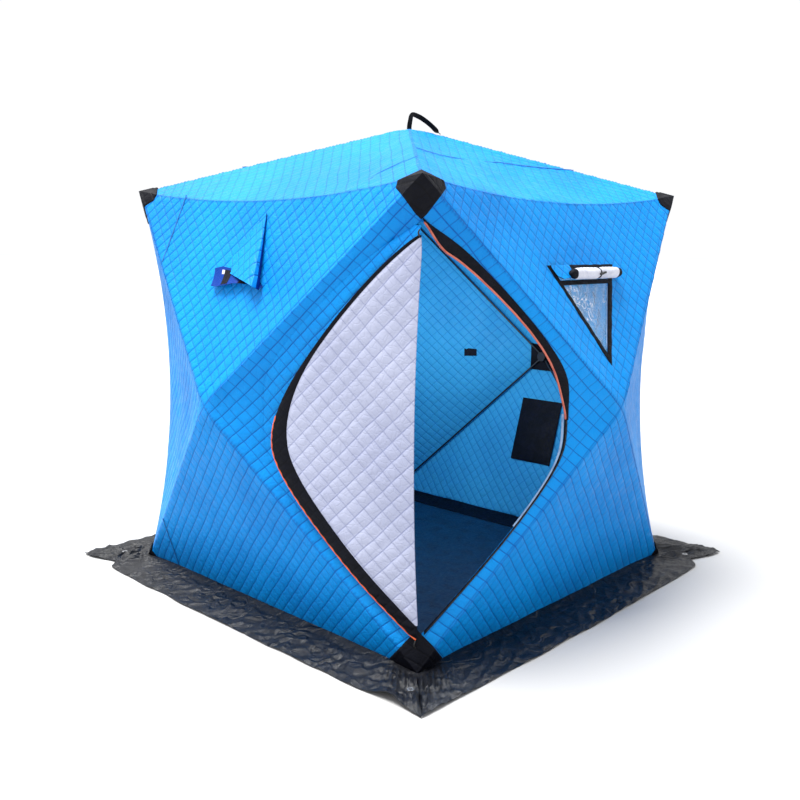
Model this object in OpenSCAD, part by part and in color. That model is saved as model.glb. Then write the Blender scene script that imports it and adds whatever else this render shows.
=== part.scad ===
// Pop-up ice fishing hut: a quilted fabric cube on a frame of bent rods, pushed out at five hubs.
// Origin at the middle of the floor, on the ground. +Z is up, and the walls face -Y, -X, +X and +Y.
// The door is the lens cut across the corner between the front wall (-Y) and the left wall (-X).

/* [Body] */
// Side of the square floor, from wall foot to wall foot
base_side = 1800; // [1500:10:2400]
// Side of the square at the eaves
eave_side = 1770; // [1480:10:2380]
// Height of the four eave corners
eave_h = 1765; // [1500:5:2100]
// Height of the roof hub's tip above the eave corners
roof_rise = 307; // [200:1:400]
// Height of the wall hubs
hub_h = 900; // [700:10:1100]
// How far a wall hub stands out from its wall's foot
hub_out = 280; // [200:5:340]
// How far a corner edge bows in at half height, along the diagonal
corner_bow = 115; // [60:5:150]
// How far an eave sags in the middle
eave_sag = 60; // [20:5:90]
// How far an eave bows in at the middle
eave_in = 40; // [0:5:60]
// Thickness of the quilted fabric
fabric_t = 6; // [4:0.5:8]

/* [Frame] */
// Diameter of the frame rods
rod_d = 10; // [8:0.5:12]
// Depth of the rods behind the outer skin
rod_depth = 24; // [22:1:30]
// Radius of a hub block
hub_r = 26; // [22:1:30]
// Thickness of a hub block
hub_t = 26; // [20:1:30]

/* [Skirt and floor] */
// Width of the snow skirt
skirt_w = 240; // [150:5:320]
// Thickness of the snow skirt
skirt_t = 4; // [3:0.5:6]
// Thickness of the floor sheet
floor_t = 4; // [3:0.5:6]
// Width of the dark border round the floor sheet
border_w = 185; // [80:5:260]
// Outer diameter of a peg eyelet
eyelet_d = 26; // [20:1:34]
// Hole in a peg eyelet
eyelet_hole = 12; // [8:0.5:16]

/* [Door] */
// Height of the foot of the door opening
door_foot_h = 108; // [80:2:160]
// Head of the door opening, measured down from the eave
door_head_drop = 110; // [90:5:250]
// Reach of the opening on the front wall, from the fold
door_reach = 650; // [500:5:700]
// Reach of the folded leaf, from its fold
leaf_reach = 605; // [460:5:660]
// Height of the leaf's widest place
leaf_mid_h = 800; // [700:5:900]
// Top of the leaf, measured down from the eave
leaf_top_drop = 195; // [160:5:320]
// Height of the leaf below its widest place
leaf_drop = 680; // [550:5:690]
// Width of the leaf's black band at its widest
leaf_band = 75; // [40:5:100]
// Clear gap between the leaf and the fixed half behind it
leaf_gap = 13; // [11:0.5:18]
// Thickness of the leaf
leaf_t = 6; // [4:0.5:8]
// Diameter of the orange piping
piping_d = 7; // [5:0.5:10]
// Width of the black storm strip at its widest
strip_w = 60; // [30:5:90]

/* [Windows] */
// Width of a window at its head
window_w = 460; // [300:10:520]
// Head of a window, measured down from the eave
window_head_drop = 325; // [260:5:420]
// Height of a window, from its lower tip to its head
window_h = 378; // [300:2:400]
// Width of a window's black border
window_border = 20; // [12:1:30]
// Thickness of a clear pane
pane_t = 3; // [2:0.5:4]
// Diameter of the rolled window flap
roll_d = 44; // [30:1:60]
// Length of the rolled window flap
roll_len = 350; // [200:10:400]
// How far a vent flap's free corner stands off
flap_lift = 85; // [30:5:120]

/* [Fittings] */
// Width of the pocket on the right wall
pocket_w = 270; // [150:5:320]
// Height of the pocket on the right wall
pocket_h = 350; // [150:5:360]
// Reach of a black corner patch along the edges that meet there
patch_reach = 110; // [70:5:140]
// Width of the webbing straps
strap_w = 25; // [15:1:40]
// Height of the roof strap's loop
strap_rise = 68; // [40:2:90]

/* [Hidden] */
// gap between neighbouring fabric pieces
seam = 0.4;
// segments along an edge of a panel
edge_n = 12;
// segments round the door's curves
lens_n = 26;
// roundness of the door's curves: 2 is an ellipse, 1 a diamond
lens_pow = 4.5;
leaf_pow = 1.3;
base_half = base_side / 2;
eave_half = eave_side / 2;
peak_h = eave_h + roof_rise;
door_head_h = eave_h - door_head_drop;
leaf_rise = eave_h - leaf_top_drop - leaf_mid_h;
window_head_h = eave_h - window_head_drop;
window_tip_h = window_head_h - window_h;
hub = [0, -(base_half + hub_out), hub_h];
peak = [0, 0, peak_h];
core = [0, 0, hub_h];
// distance of the panels' planes from the core
core_r = -hub.y * cos(atan(hub_out / base_half));
// share of the way from a panel's edge to its hub where it stops, and where it starts
panel_end = 0.985;
panel_start = 0.0003;
far_turn = [0, 90, 180, 270];

function lerp(p, q, u) = p + (q - p) * u;
// the point at the distance len from p towards q
function along(p, q, len) = p + (q - p) / norm(q - p) * len;
function steps(n, lo, hi) = [for (i = [0:n]) lo + (hi - lo) * i / n];
function bump4(t) = 4 * t * (1 - t);
function signed_pow(x, e) = sign(x) * pow(abs(x), e);
// the point p moved straight towards the core, so that a panel through it moves in by d
function deep(p, d) = core + (p - core) * (1 - d / core_r);

// half the side of the square through the corner edges at the height share t
function half_at(t) = lerp(base_half, eave_half, t) - corner_bow * bump4(t) / sqrt(2);
function corner_edge(t) = [-half_at(t), -half_at(t), eave_h * t];
function eave_edge(s) = [
    (2 * s - 1) * eave_half,
    -(eave_half - eave_in * bump4(s)),
    eave_h - eave_sag * bump4(s)
];
function foot_edge(s) = [(2 * s - 1) * base_half, -base_half, 0];
function side_surface(t, u) = lerp(corner_edge(t), hub, u);
function head_surface(s, u) = lerp(eave_edge(s), hub, u);
function foot_surface(s, u) = lerp(foot_edge(s), hub, u);
// share of an edge's length that one seam takes
function seam_share(len) = seam / len;

// the door opening's curve on the front wall, from its head (0) to its foot (180)
door_t_mid = (door_head_h + door_foot_h) / 2 / eave_h;
door_t_half = (door_head_h - door_foot_h) / 2 / eave_h;
fold_half = half_at(door_t_mid - door_t_half);
fold_to_hub = norm([fold_half, -hub.y - fold_half]);
// angle on the curve at the way v, from 0 at the head through 1 at the widest place to 2 at the foot,
// eased so that points lie evenly along it
function ease(v) = let (p = pow(v, lens_pow / 2), q = pow(1 - v, lens_pow / 2)) p / (p + q);
function lens_a(v) = v < 1 ? 90 * ease(v) : 180 - 90 * ease(2 - v);
// the ways that both sides of the curve share, from its foot to its head
lens_ways = [2, each steps(lens_n, 1.75, 0.25), 0];
function lens_t(a, grow = 0) = door_t_mid + (door_t_half + grow / eave_h) * signed_pow(cos(a), 2 / lens_pow);
function lens_u(a, grow = 0) = (door_reach + grow) / fold_to_hub * signed_pow(sin(a), 2 / lens_pow);
function lens_point(a, grow = 0) = side_surface(lens_t(a, grow), lens_u(a, grow));

// the leaf's plane at rest runs beside the left wall, and meets the front wall's beside it at the hinge
wall_turn = atan2(-hub.y - fold_half, fold_half);
leaf_off = leaf_gap + leaf_t / 2;
hinge_half = fold_half + leaf_off * (cos(wall_turn) + sin(wall_turn)) / (1 + sin(2 * wall_turn));
leaf_turn = 90 + wall_turn;
function leaf_w(a, less = 0) = (leaf_reach - less) * pow(abs(sin(a)), 2 / leaf_pow);
function leaf_z(a, rise, drop) =
    leaf_mid_h + (cos(a) > 0 ? rise : drop) * signed_pow(cos(a), 2 / leaf_pow);

// a closed sheet between two rows of points, from the depth d_out to d_in;
// seen from outside, row a runs clockwise and row b lies on its right
module sheet(a, b, d_out, d_in) {
    n = len(a);
    last = n - 1;
    polyhedron(
        [
            for (p = a) deep(p, d_out),
            for (p = b) deep(p, d_out),
            for (p = a) deep(p, d_in),
            for (p = b) deep(p, d_in)
        ],
        [
            for (i = [0:n - 2]) each [
                [i, i + 1, n + i + 1], [i, n + i + 1, n + i],
                [2 * n + i, 3 * n + i + 1, 2 * n + i + 1], [2 * n + i, 3 * n + i, 3 * n + i + 1],
                [i, 2 * n + i, 2 * n + i + 1], [i, 2 * n + i + 1, i + 1],
                [n + i, 3 * n + i + 1, 3 * n + i], [n + i, n + i + 1, 3 * n + i + 1]
            ],
            [0, n, 3 * n], [0, 3 * n, 2 * n],
            [last, 2 * n + last, 3 * n + last], [last, 3 * n + last, n + last]
        ]
    );
}

// a closed fan shell round a tip, through a ring of points; closed rings leave out the end rims
module fan(tip, ring, d_out, d_in, closed = true) {
    n = len(ring);
    m = n + 1;
    polyhedron(
        [deep(tip, d_out), for (p = ring) deep(p, d_out), deep(tip, d_in), for (p = ring) deep(p, d_in)],
        [
            for (i = [0:closed ? n - 1 : n - 2]) let (j = (i + 1) % n) each [
                [0, i + 1, j + 1], [m, m + j + 1, m + i + 1],
                [i + 1, m + i + 1, m + j + 1], [i + 1, m + j + 1, j + 1]
            ],
            if (!closed) each [
                [0, m + 1, 1], [0, m, m + 1],
                [0, n, m + n], [0, m + n, m]
            ]
        ]
    );
}

// a panel of fabric from an edge towards its hub
module panel(edge, tip, start = panel_start) {
    sheet(
        [for (p = edge) lerp(p, tip, start)],
        [for (p = edge) lerp(p, tip, panel_end)],
        0, fabric_t
    );
}

// a straight round rod between two points
module rod(p, q, d) {
    v = q - p;
    translate(p) rotate([0, acos(v.z / norm(v)), atan2(v.y, v.x)]) cylinder(h = norm(v), d = d, $fn = 24);
}

// the panels of one wall, all in the front wall's place
module head_panel() {
    c = seam_share(eave_side);
    panel([for (s = steps(edge_n, c, 1 - c)) eave_edge(s)], hub + [0, 0, seam]);
}
module foot_panel() {
    c = seam_share(base_side);
    panel([for (s = [1 - c, 0.5, c]) foot_edge(s)], hub - [0, 0, seam], start = 0);
}
module side_panel() {
    c = seam_share(eave_h);
    panel([for (t = steps(edge_n, c, 1 - c)) corner_edge(t)], hub - [seam, 0, 0]);
}
// the side panel with the door's lens cut out of it
module door_side_panel() {
    c = seam_share(eave_h);
    tip = hub - [seam, 0, 0];
    curve = [for (v = lens_ways) [lens_t(lens_a(v)), max(panel_start, lens_u(lens_a(v)))]];
    row = [[c, panel_start], each curve, [1 - c, panel_start]];
    sheet(
        [for (q = row) lerp(corner_edge(q[0]), tip, q[1])],
        [for (q = row) lerp(corner_edge(q[0]), tip, panel_end)],
        0, fabric_t
    );
}

// a prism through the head panel with the window's outline, grown by a border
module window_prism(grow = 0) {
    w = window_w / 2;
    drop = window_head_h - window_tip_h;
    // the outline's sides move out by the border, and so does its head
    side = grow * norm([w, drop]) / drop;
    tip = window_tip_h - grow * norm([w, drop]) / w;
    top = window_head_h + grow;
    half = w + side + grow * w / drop;
    translate([0, hub.y / 2, 0]) rotate([90, 0, 0])
        linear_extrude(-hub.y) polygon([[-half, top], [half, top], [0, tip]]);
}
// a place on the head panel given as [x, distance below the eave], as [x, z]
function below_eave(q) = [q.x, eave_h - q.y];
// the small vent's outline
vent = [below_eave([25, 165]), below_eave([105, 380]), below_eave([-130, 370])];
module vent_prism() {
    translate([0, hub.y / 2, 0]) rotate([90, 0, 0]) linear_extrude(-hub.y) polygon(vent);
}

module window_border_ring() {
    intersection() {
        head_layer(-2.5, -seam);
        difference() {
            window_prism(window_border);
            window_prism();
        }
    }
}
// the head panel's surface as a thin layer from d_out to d_in
module head_layer(d_out, d_in) {
    row = steps(edge_n, 0.02, 0.98);
    sheet([for (s = row) head_surface(s, 0.02)], [for (s = row) head_surface(s, 0.96)], d_out, d_in);
}
module window_pane() {
    intersection() {
        head_layer(0.5, 0.5 + pane_t);
        window_prism(-seam);
    }
}
module vent_pane() {
    intersection() {
        head_layer(0.5, 0.5 + pane_t);
        vent_prism();
    }
}
// the point of the head panel at q = [x, z], found by moving along the eave
function head_point(q, s = 0.5, tries = 5) =
    let (e = eave_edge(s), u = (e.z - q[1]) / (e.z - hub_h))
    tries == 0 ? lerp(e, hub, u) : head_point(q, (q.x / ((1 - u) * eave_half) + 1) / 2, tries - 1);
// a three-cornered flap, fast along its upper left side and standing off at its lower right corner
module vent_flap() {
    top = head_point(below_eave([40, 125]));
    fast_low = head_point(below_eave([-190, 403]));
    free = deep(head_point(below_eave([135, 413])), -flap_lift);
    fan(top, [free, fast_low], -seam - fabric_t, -seam, closed = false);
}

// walls
module front_wall() color("dodgerblue") {
    difference() { head_panel(); window_prism(); }
    foot_panel();
    mirror([1, 0, 0]) side_panel();
}
module front_door_surround() color("dodgerblue") door_side_panel();
module left_wall() color("deepskyblue") rotate(-90) {
    difference() { head_panel(); vent_prism(); }
    foot_panel();
    side_panel();
}
module left_door_surround() color("deepskyblue") mirror([1, -1, 0]) door_side_panel();
module right_wall() color("dodgerblue") rotate(90) {
    difference() { head_panel(); vent_prism(); }
    foot_panel();
    side_panel();
    mirror([1, 0, 0]) side_panel();
}
module back_wall() color("deepskyblue") rotate(180) {
    difference() { head_panel(); window_prism(); }
    foot_panel();
    side_panel();
    mirror([1, 0, 0]) side_panel();
}
module roof() color("skyblue") {
    c = seam_share(eave_side);
    for (turn = far_turn) rotate(turn)
        panel([for (s = steps(edge_n, 1 - c, c)) eave_edge(s)], peak - [0, seam, 0]);
}

// frame
module wall_rods() {
    middle = deep(hub, rod_depth);
    for (side = [-1, 1], t = [0, 1]) {
        e = deep(corner_edge(t), rod_depth);
        end = [side * -e.x, e.y, e.z];
        u = (end - middle) / norm(end - middle);
        rod(middle + u * rod_start, end - u * rod_stop, rod_d);
    }
}
socket_r = rod_depth - fabric_t - 3;
rod_stop = socket_r + seam;
rod_start = hub_r + 2.3;
module front_rods() color("gray") wall_rods();
module left_rods() color("gray") rotate(-90) wall_rods();
module right_rods() color("gray") rotate(90) wall_rods();
module back_rods() color("gray") rotate(180) wall_rods();
module roof_rods() color("gray") {
    middle = deep(peak, rod_depth);
    for (turn = far_turn) rotate(turn) {
        end = deep(corner_edge(1), rod_depth);
        u = (end - middle) / norm(end - middle);
        rod(middle + u * rod_start, end - u * rod_stop, rod_d);
    }
}
module hubs() color("black") {
    for (turn = far_turn) rotate(turn)
        translate(deep(hub, rod_depth) + [0, rod_d, 0]) rotate([90, 0, 0])
            cylinder(h = hub_t, r = hub_r, center = true, $fn = 40);
    translate(deep(peak, rod_depth) - [0, 0, rod_d]) cylinder(h = hub_t, r = hub_r, center = true, $fn = 40);
}
module corner_sockets() color("black")
    for (turn = far_turn, t = [0, 1]) rotate(turn)
        translate(deep(corner_edge(t), rod_depth)) sphere(r = socket_r, $fn = 24);

// black patches over the corners
module top_corner_patches() color("black")
    for (turn = far_turn) rotate(turn) {
        e = patch_reach / eave_side;
        r = 0.7 * patch_reach;
        top = corner_edge(1);
        right_eave = lerp(top, eave_edge(1 / edge_n), e * edge_n);
        left_eave = [right_eave.y, right_eave.x, right_eave.z];
        fan(
            top,
            [
                along(top, peak, r), right_eave, along(top, hub, r),
                along(top, corner_edge(1 - 1 / edge_n), min(1.2 * patch_reach, eave_h - door_head_h - 5)),
                along(top, [hub.y, hub.x, hub.z], r), left_eave
            ],
            -3, -seam
        );
    }
module bottom_corner_patches() color("black")
    for (turn = far_turn) rotate(turn) {
        // the patch starts just above the skirt, and its tip stands clear of both walls' feet
        z = skirt_t + 3.5;
        low = [-base_half - 3.5, -base_half - 3.5, z];
        foot = foot_surface(patch_reach / base_side, z / hub_h);
        up = along(low, hub, 0.8 * patch_reach);
        fan(
            low,
            [
                [foot.y, foot.x, foot.z], [up.y, up.x, up.z],
                along(corner_edge(0), corner_edge(1 / edge_n), 0.8 * patch_reach), up, foot
            ],
            -3, -seam, closed = false
        );
    }

// skirt and floor
module skirt() {
    // the walls lean out over the skirt's inner edge
    inner = base_half + seam + hub_out * skirt_t / hub_h;
    outer = base_half + skirt_w;
    // the free edge bows out a little in the middle, and its ends are drawn in
    tip = outer - 12;
    difference() {
        linear_extrude(skirt_t) polygon([
            [-inner + seam, -inner], [-tip + seam, -tip],
            for (s = steps(8, 0.06, 0.94)) [(2 * s - 1) * tip, -(outer + 8 * bump4(s))],
            [tip - seam, -tip], [inner - seam, -inner]
        ]);
        translate([eyelet_place.x, eyelet_place.y, -1]) cylinder(h = skirt_t + 2, d = eyelet_d + 2 * seam, $fn = 32);
    }
}
eyelet_place = [base_half + 0.32 * skirt_w, -(base_half + 0.49 * skirt_w)];
module front_skirt() color("black") skirt();
module left_skirt() color("black") rotate(-90) skirt();
module right_skirt() color("black") rotate(90) skirt();
module back_skirt() color("black") rotate(180) skirt();
module skirt_eyelets() color("silver")
    for (turn = far_turn) rotate(turn) translate([eyelet_place.x, eyelet_place.y, 0])
        difference() {
            cylinder(h = skirt_t + 1, d = eyelet_d, $fn = 32);
            translate([0, 0, -1]) cylinder(h = skirt_t + 3, d = eyelet_hole, $fn = 32);
        }
border_half = base_half - fabric_t + seam;
sheet_half = border_half - border_w;
module floor_sheet() color("steelblue")
    translate([0, 0, floor_t / 2]) cube([2 * sheet_half, 2 * sheet_half, floor_t], center = true);
module floor_border() color("midnightblue")
    linear_extrude(floor_t) difference() {
        square(2 * border_half, center = true);
        square(2 * (sheet_half + seam), center = true);
    }

// fittings on the walls inside
module wall_pocket() color("black") rotate(90) {
    low = foot_at(pocket_low);
    high = foot_at(pocket_low + pocket_h);
    sheet(
        [[pocket_x, high.y, high.z], [pocket_x + pocket_w, high.y, high.z]],
        [[pocket_x, low.y, low.z], [pocket_x + pocket_w, low.y, low.z]],
        fabric_t + seam, fabric_t + seam + 4
    );
}
// where the pocket's left side and foot lie on its wall
pocket_x = -185;
pocket_low = 305;
// the foot panel's surface at the height z
function foot_at(z) = lerp([0, -base_half, 0], hub, z / hub_h);
module wall_tag() color("black") rotate(90) mirror([1, 0, 0])
    sheet(
        [for (t = [0.49, 0.54]) side_surface(t, 0.455)],
        [for (t = [0.49, 0.54]) side_surface(t, 0.54)],
        fabric_t + seam, fabric_t + seam + 1.5
    );

// door
// the half that stays zipped to the left wall, from its curve to the straight fold
module fixed_half() {
    curve = [for (v = lens_ways) lens_point(lens_a(v), -2 * seam)];
    last = len(curve) - 1;
    // both ends of the rim stand a little off the fold
    rim = [
        lerp(curve[0], curve[1], 0.05), for (i = [1:last - 1]) curve[i],
        lerp(curve[last], curve[last - 1], 0.02)
    ];
    // the lower end is cut where it is still a few millimetres wide
    low_end = rim[0].z + 8;
    difference() {
        sheet([for (p = rim) [-fold_half, -fold_half, p.z]], rim, 0, fabric_t);
        translate([-base_side, -base_side, 0]) cube([base_side, base_side, low_end]);
    }
}
module door_fixed_half() color("deepskyblue") {
    mirror([1, -1, 0]) fixed_half();
    fold_lip();
}
// the folded edge that the leaf turns on, out to just short of the leaf's axis
lip_t = 3;
lip_gap = leaf_t / 2 + 1.6;
lip_end = 25;
module fold_lip() {
    low = leaf_mid_h - leaf_drop + lip_end;
    high = leaf_mid_h + leaf_rise - lip_end;
    translate([-hinge_half, -hinge_half, low]) rotate(45) translate([lip_gap, -lip_t / 2, 0])
        cube([sqrt(2) * (hinge_half - fold_half) - lip_gap + lip_t / 2, lip_t, high - low]);
}
// places a flat shape, drawn as [distance from the fold, height], in the leaf's plane
module in_leaf_plane(t) {
    translate([-hinge_half, -hinge_half, 0]) rotate(leaf_turn) translate([0, t / 2, 0]) rotate([90, 0, 0])
        linear_extrude(t) children();
}
module leaf_outline(less, rise, drop) {
    polygon([for (a = steps(2 * lens_n, 0, 180)) [leaf_w(a, less), leaf_z(a, rise, drop)]]);
}
// the pale panel inside the band, grown all round
module pale_outline(grow = 0)
    leaf_outline(leaf_band - grow, leaf_rise - 4 + grow, leaf_drop - leaf_band + grow);
module door_leaf() color("lavender") in_leaf_plane(leaf_t) pale_outline();
module door_leaf_band() color("black") in_leaf_plane(leaf_t) difference() {
    leaf_outline(piping_d, leaf_rise, leaf_drop - piping_d);
    pale_outline(2 * seam);
}
module door_leaf_piping() color("orangered") in_leaf_plane(piping_d) difference() {
    leaf_outline(0, leaf_rise, leaf_drop);
    leaf_outline(piping_d - seam, leaf_rise, leaf_drop - piping_d + seam);
    translate([-10, leaf_mid_h]) square([leaf_reach + 20, eave_h]);
}
// a strip along the opening's curve on the front wall, from the way v0 to v1, between two growths of the
// curve: the outer one is the same all along, and the inner one swells to its full width half way
function swell(v, v0, v1) = sin(180 * (v - v0) / (v1 - v0));
module lens_strip(v0, v1, outer, width, d_out, d_in) {
    row = steps(lens_n, v0, v1);
    sheet(
        [for (v = row) lens_point(lens_a(v), outer)],
        [for (v = row) lens_point(lens_a(v), outer - 4 - width * swell(v, v0, v1))],
        d_out, d_in
    );
}
strip_v = [0.12, 0.98];
strip_lap = 14;
module storm_strip() color("black") lens_strip(strip_v[0], strip_v[1], strip_lap, strip_w, -4, -seam);
// the storm strip's inner edge, moved in by more
function strip_inner(v, more) =
    lens_point(lens_a(v), strip_lap - 4 - more - strip_w * swell(v, strip_v[0], strip_v[1]));
module storm_strip_piping() color("salmon") {
    row = steps(lens_n, strip_v[0] + 0.02, strip_v[1] - 0.02);
    sheet(
        [for (v = row) strip_inner(v, seam)],
        [for (v = row) strip_inner(v, seam + piping_d)],
        -5, -seam
    );
}
module door_zip() color("black") lens_strip(1.0, 1.9, 6, 8, -3, -seam);

// small pulls at the head and the foot of the leaf's zip
pull_w = 8;
pull_h = 22;
module zip_pulls() color("black") in_leaf_plane(2.5) {
    translate([0, leaf_mid_h + leaf_rise + seam]) square([pull_w, pull_h]);
    translate([0, leaf_mid_h - leaf_drop - pull_h / 2 - seam]) square([pull_w, pull_h / 2]);
}

// windows
module front_window_frame() color("black") window_border_ring();
module front_window_pane() color("lightblue", 0.4) window_pane();
// the roll hangs along the window's head, off its middle, clear of the border all along
// lean of the head panel from upright
head_lean = atan((-hub.y - eave_half + eave_in) / (eave_h - eave_sag - hub_h));
roll_x = -100;
roll_z = window_head_h - roll_d / 4;
roll_y = head_point([roll_x + roll_len, roll_z]).y - (roll_d / 2 + 2.5) / cos(head_lean);
module rolled_flap() translate([roll_x, roll_y, roll_z]) rotate([0, 90, 0])
    cylinder(h = roll_len, d = roll_d, $fn = 32);
module front_window_flap() color("white") rolled_flap();
module back_window_frame() color("black") rotate(180) window_border_ring();
module back_window_pane() color("lightblue", 0.4) rotate(180) window_pane();
module back_window_flap() color("white") rotate(180) rolled_flap();

module left_vent_flap() color("dodgerblue") rotate(-90) vent_flap();
module right_vent_flap() color("dodgerblue") rotate(90) vent_flap();
module window_toggles() color("black")
    for (turn = [0, 180]) rotate(turn)
        translate([toggle_x, roll_y - roll_d / 2 - toggle_d / 2 - seam, roll_z])
            rotate([0, 90, 0]) cylinder(h = toggle_len, d = toggle_d, $fn = 24);
toggle_x = 40;
toggle_len = 50;
toggle_d = 9;

// a loop of webbing along a path in the [x, z] plane, strap_w wide along Y
module webbing(path, thick) {
    n = len(path);
    outer = [for (i = [0:n - 1])
        let (v = path[min(i + 1, n - 1)] - path[max(i - 1, 0)], u = v / norm(v))
        path[i] + thick * [-u.y, u.x]];
    rotate([90, 0, 0]) translate([0, 0, -strap_w / 2]) linear_extrude(strap_w)
        polygon([each path, for (i = [n - 1:-1:0]) outer[i]]);
}
strap_t = 2.5;
// length of the roof strap's loop along the ridge that it lies over
strap_run = 150;
module roof_strap() color("black") {
    fall = (peak_h - eave_h) / (sqrt(2) * eave_half);
    path = [for (a = steps(16, 0, 180))
        let (x = strap_run / 2 * (1 - cos(a)))
        [x, strap_rise * pow(sin(a), 0.6) - fall * x]];
    translate([0, 0, peak_h + seam]) rotate(-45) webbing(path, strap_t);
}
// the loops at the back and right hubs hang straight down
module hub_straps() color("black")
    for (turn = [90, 180]) rotate(turn) translate(hub + [0, strap_seat, 0]) rotate(-90) translate([0, 0, -loop_drop]) {
        path = [for (a = steps(12, 180, 360)) [loop_gap / 2 * (1 + cos(a)), loop_gap / 2 * sin(a)]];
        webbing([[0, loop_drop], each path, [loop_gap, loop_drop]], -strap_t);
    }
// the loops rest on the lip where the foot panels end
strap_seat = (1 - panel_end) * hub_out - seam - strap_t;
loop_drop = 130;
loop_gap = 3;

module left_vent_pane() color("lightblue", 0.4) rotate(-90) vent_pane();
module right_vent_pane() color("lightblue", 0.4) rotate(90) vent_pane();

front_wall();
front_door_surround();
left_wall();
left_door_surround();
right_wall();
back_wall();
roof();
front_rods();
left_rods();
right_rods();
back_rods();
roof_rods();
hubs();
corner_sockets();
top_corner_patches();
bottom_corner_patches();
front_skirt();
left_skirt();
right_skirt();
back_skirt();
skirt_eyelets();
floor_sheet();
floor_border();
door_fixed_half();
door_leaf();
door_leaf_band();
door_leaf_piping();
storm_strip();
storm_strip_piping();
door_zip();
zip_pulls();
front_window_frame();
front_window_pane();
front_window_flap();
back_window_frame();
back_window_pane();
back_window_flap();
left_vent_pane();
right_vent_pane();
window_toggles();
left_vent_flap();
right_vent_flap();
roof_strap();
hub_straps();
wall_pocket();
wall_tag();
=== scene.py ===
"""Pop-up ice fishing hut: the fabric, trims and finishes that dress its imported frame.

Lengths are in metres, +Z is up, and the four walls face -Y (front), -X (left), +X (right) and +Y (back).
Every wall is shaped in the front wall's place and turned round to its own.
"""
import math

import bmesh
import bpy
import numpy as np
from mathutils import Matrix, Vector


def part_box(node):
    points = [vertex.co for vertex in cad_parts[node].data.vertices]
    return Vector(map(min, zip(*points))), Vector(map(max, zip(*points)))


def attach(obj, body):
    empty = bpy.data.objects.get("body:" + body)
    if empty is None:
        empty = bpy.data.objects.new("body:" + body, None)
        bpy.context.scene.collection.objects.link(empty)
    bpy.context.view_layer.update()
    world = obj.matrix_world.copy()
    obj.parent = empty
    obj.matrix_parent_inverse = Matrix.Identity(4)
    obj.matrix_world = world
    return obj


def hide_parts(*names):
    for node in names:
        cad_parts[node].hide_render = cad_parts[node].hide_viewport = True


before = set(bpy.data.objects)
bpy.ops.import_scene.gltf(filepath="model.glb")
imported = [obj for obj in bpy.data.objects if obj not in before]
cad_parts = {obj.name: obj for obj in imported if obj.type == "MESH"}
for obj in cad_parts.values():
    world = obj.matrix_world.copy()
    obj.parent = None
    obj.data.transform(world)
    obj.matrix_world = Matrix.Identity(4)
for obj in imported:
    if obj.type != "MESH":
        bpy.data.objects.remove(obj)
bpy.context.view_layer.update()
BUILD_SEED = 11

# the tent's sizes
BASE = 0.9
EAVE = 0.885
EAVE_H = 1.765
PEAK = np.array([0, 0, 2.072])
# how far out the walls' hubs stand, from the middle and from the foot of the wall
HUB_OUT, HUB_BULGE = 1.18, 0.28
HUB = np.array([0, -HUB_OUT, 0.9])
CORE = np.array([0, 0, HUB[2]])
CORNER_BOW = 0.115
EAVE_SAG = 0.06
EAVE_IN = 0.04
FABRIC_T = 0.006
CORE_R = HUB_OUT * math.cos(math.atan(HUB_BULGE / BASE))
# the door's lens: its middle and half height as shares of the corner edge, and its reach
DOOR_FOOT, DOOR_HEAD, DOOR_REACH = 0.108, 1.655, 0.65
DOOR_MID_T = (DOOR_HEAD + DOOR_FOOT) / 2 / EAVE_H
DOOR_HALF_T = (DOOR_HEAD - DOOR_FOOT) / 2 / EAVE_H
DOOR_POWER = 4.5
# the leaf's outline in its own plane
LEAF_REACH, LEAF_MID, LEAF_RISE, LEAF_DROP = 0.605, 0.8, 0.77, 0.68
LEAF_QUILT = 0.052
LEAF_OFF = 0.016
# the windows and vents, as the [x, z] corners of their outlines, anticlockwise seen from outside
WINDOW = [(0.005, 1.102), (0.205, 1.437), (-0.205, 1.437)]
VENT = [(-0.13, 1.395), (0.105, 1.385), (0.025, 1.6)]
SKIRT_W = 0.24
QUILT = 0.043
# the places of the skirt's peg eyelets, along the wall and out from the middle
EYELET = (0.9768, 1.0176)
# how high the pillows of the quilting stand: outside, on the lining and on the door leaf
PUFF, LINING_PUFF, LEAF_PUFF = 0.0016, 0.0012, 0.0036
# half the width of a sewn seam, and how far the roof's strap reaches out
SEAM_HALF, STRAP_REACH = 0.0035, 0.15
QUARTERS = (0, 90, 180, 270)
# how far each wall is turned round from the front one, in degrees
TURNS = {"front": 0, "left": -90, "right": 90, "back": 180}
# a direction that no cord runs along, to start its sides from
ASKEW = (0.31, 0.22, 0.93)
SHARP_ANGLE = math.radians(50)


# ---- shapes
def lerp(p, q, u):
    return p + (q - p) * u


def bump4(t):
    return 4 * t * (1 - t)


def smooth(x, low, high):
    """0 below low, 1 above high and smooth between them."""
    t = np.clip((x - low) / (high - low), 0, 1)
    return t * t * (3 - 2 * t)


def bell(x, width):
    """1 where x is 0, falling off to both sides."""
    return np.exp(-((x / width) ** 2))


def column(low, high, count):
    return np.linspace(low, high, count)[:, None]


def row(low, high, count):
    return np.linspace(low, high, count)[None, :]


def stack(*parts):
    return np.stack(np.broadcast_arrays(*parts), -1).astype(float)


def deep(p, d):
    """p moved straight towards the core, so that a skin through it moves in by d."""
    return CORE + (p - CORE) * (1 - np.asarray(d) / CORE_R)[..., None]


def half_at(t):
    """How far out the corner's edge stands along X and along Y, at the share t of its height."""
    return lerp(BASE, EAVE, t) - CORNER_BOW * bump4(t) / math.sqrt(2)


# where the door's fold stands, and the way from there to the hub
FOLD = half_at(DOOR_MID_T - DOOR_HALF_T)
DOOR_SPAN = math.hypot(FOLD, HUB_OUT - FOLD)


def corner_edge(t):
    return stack(-half_at(t), -half_at(t), EAVE_H * t)


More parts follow.
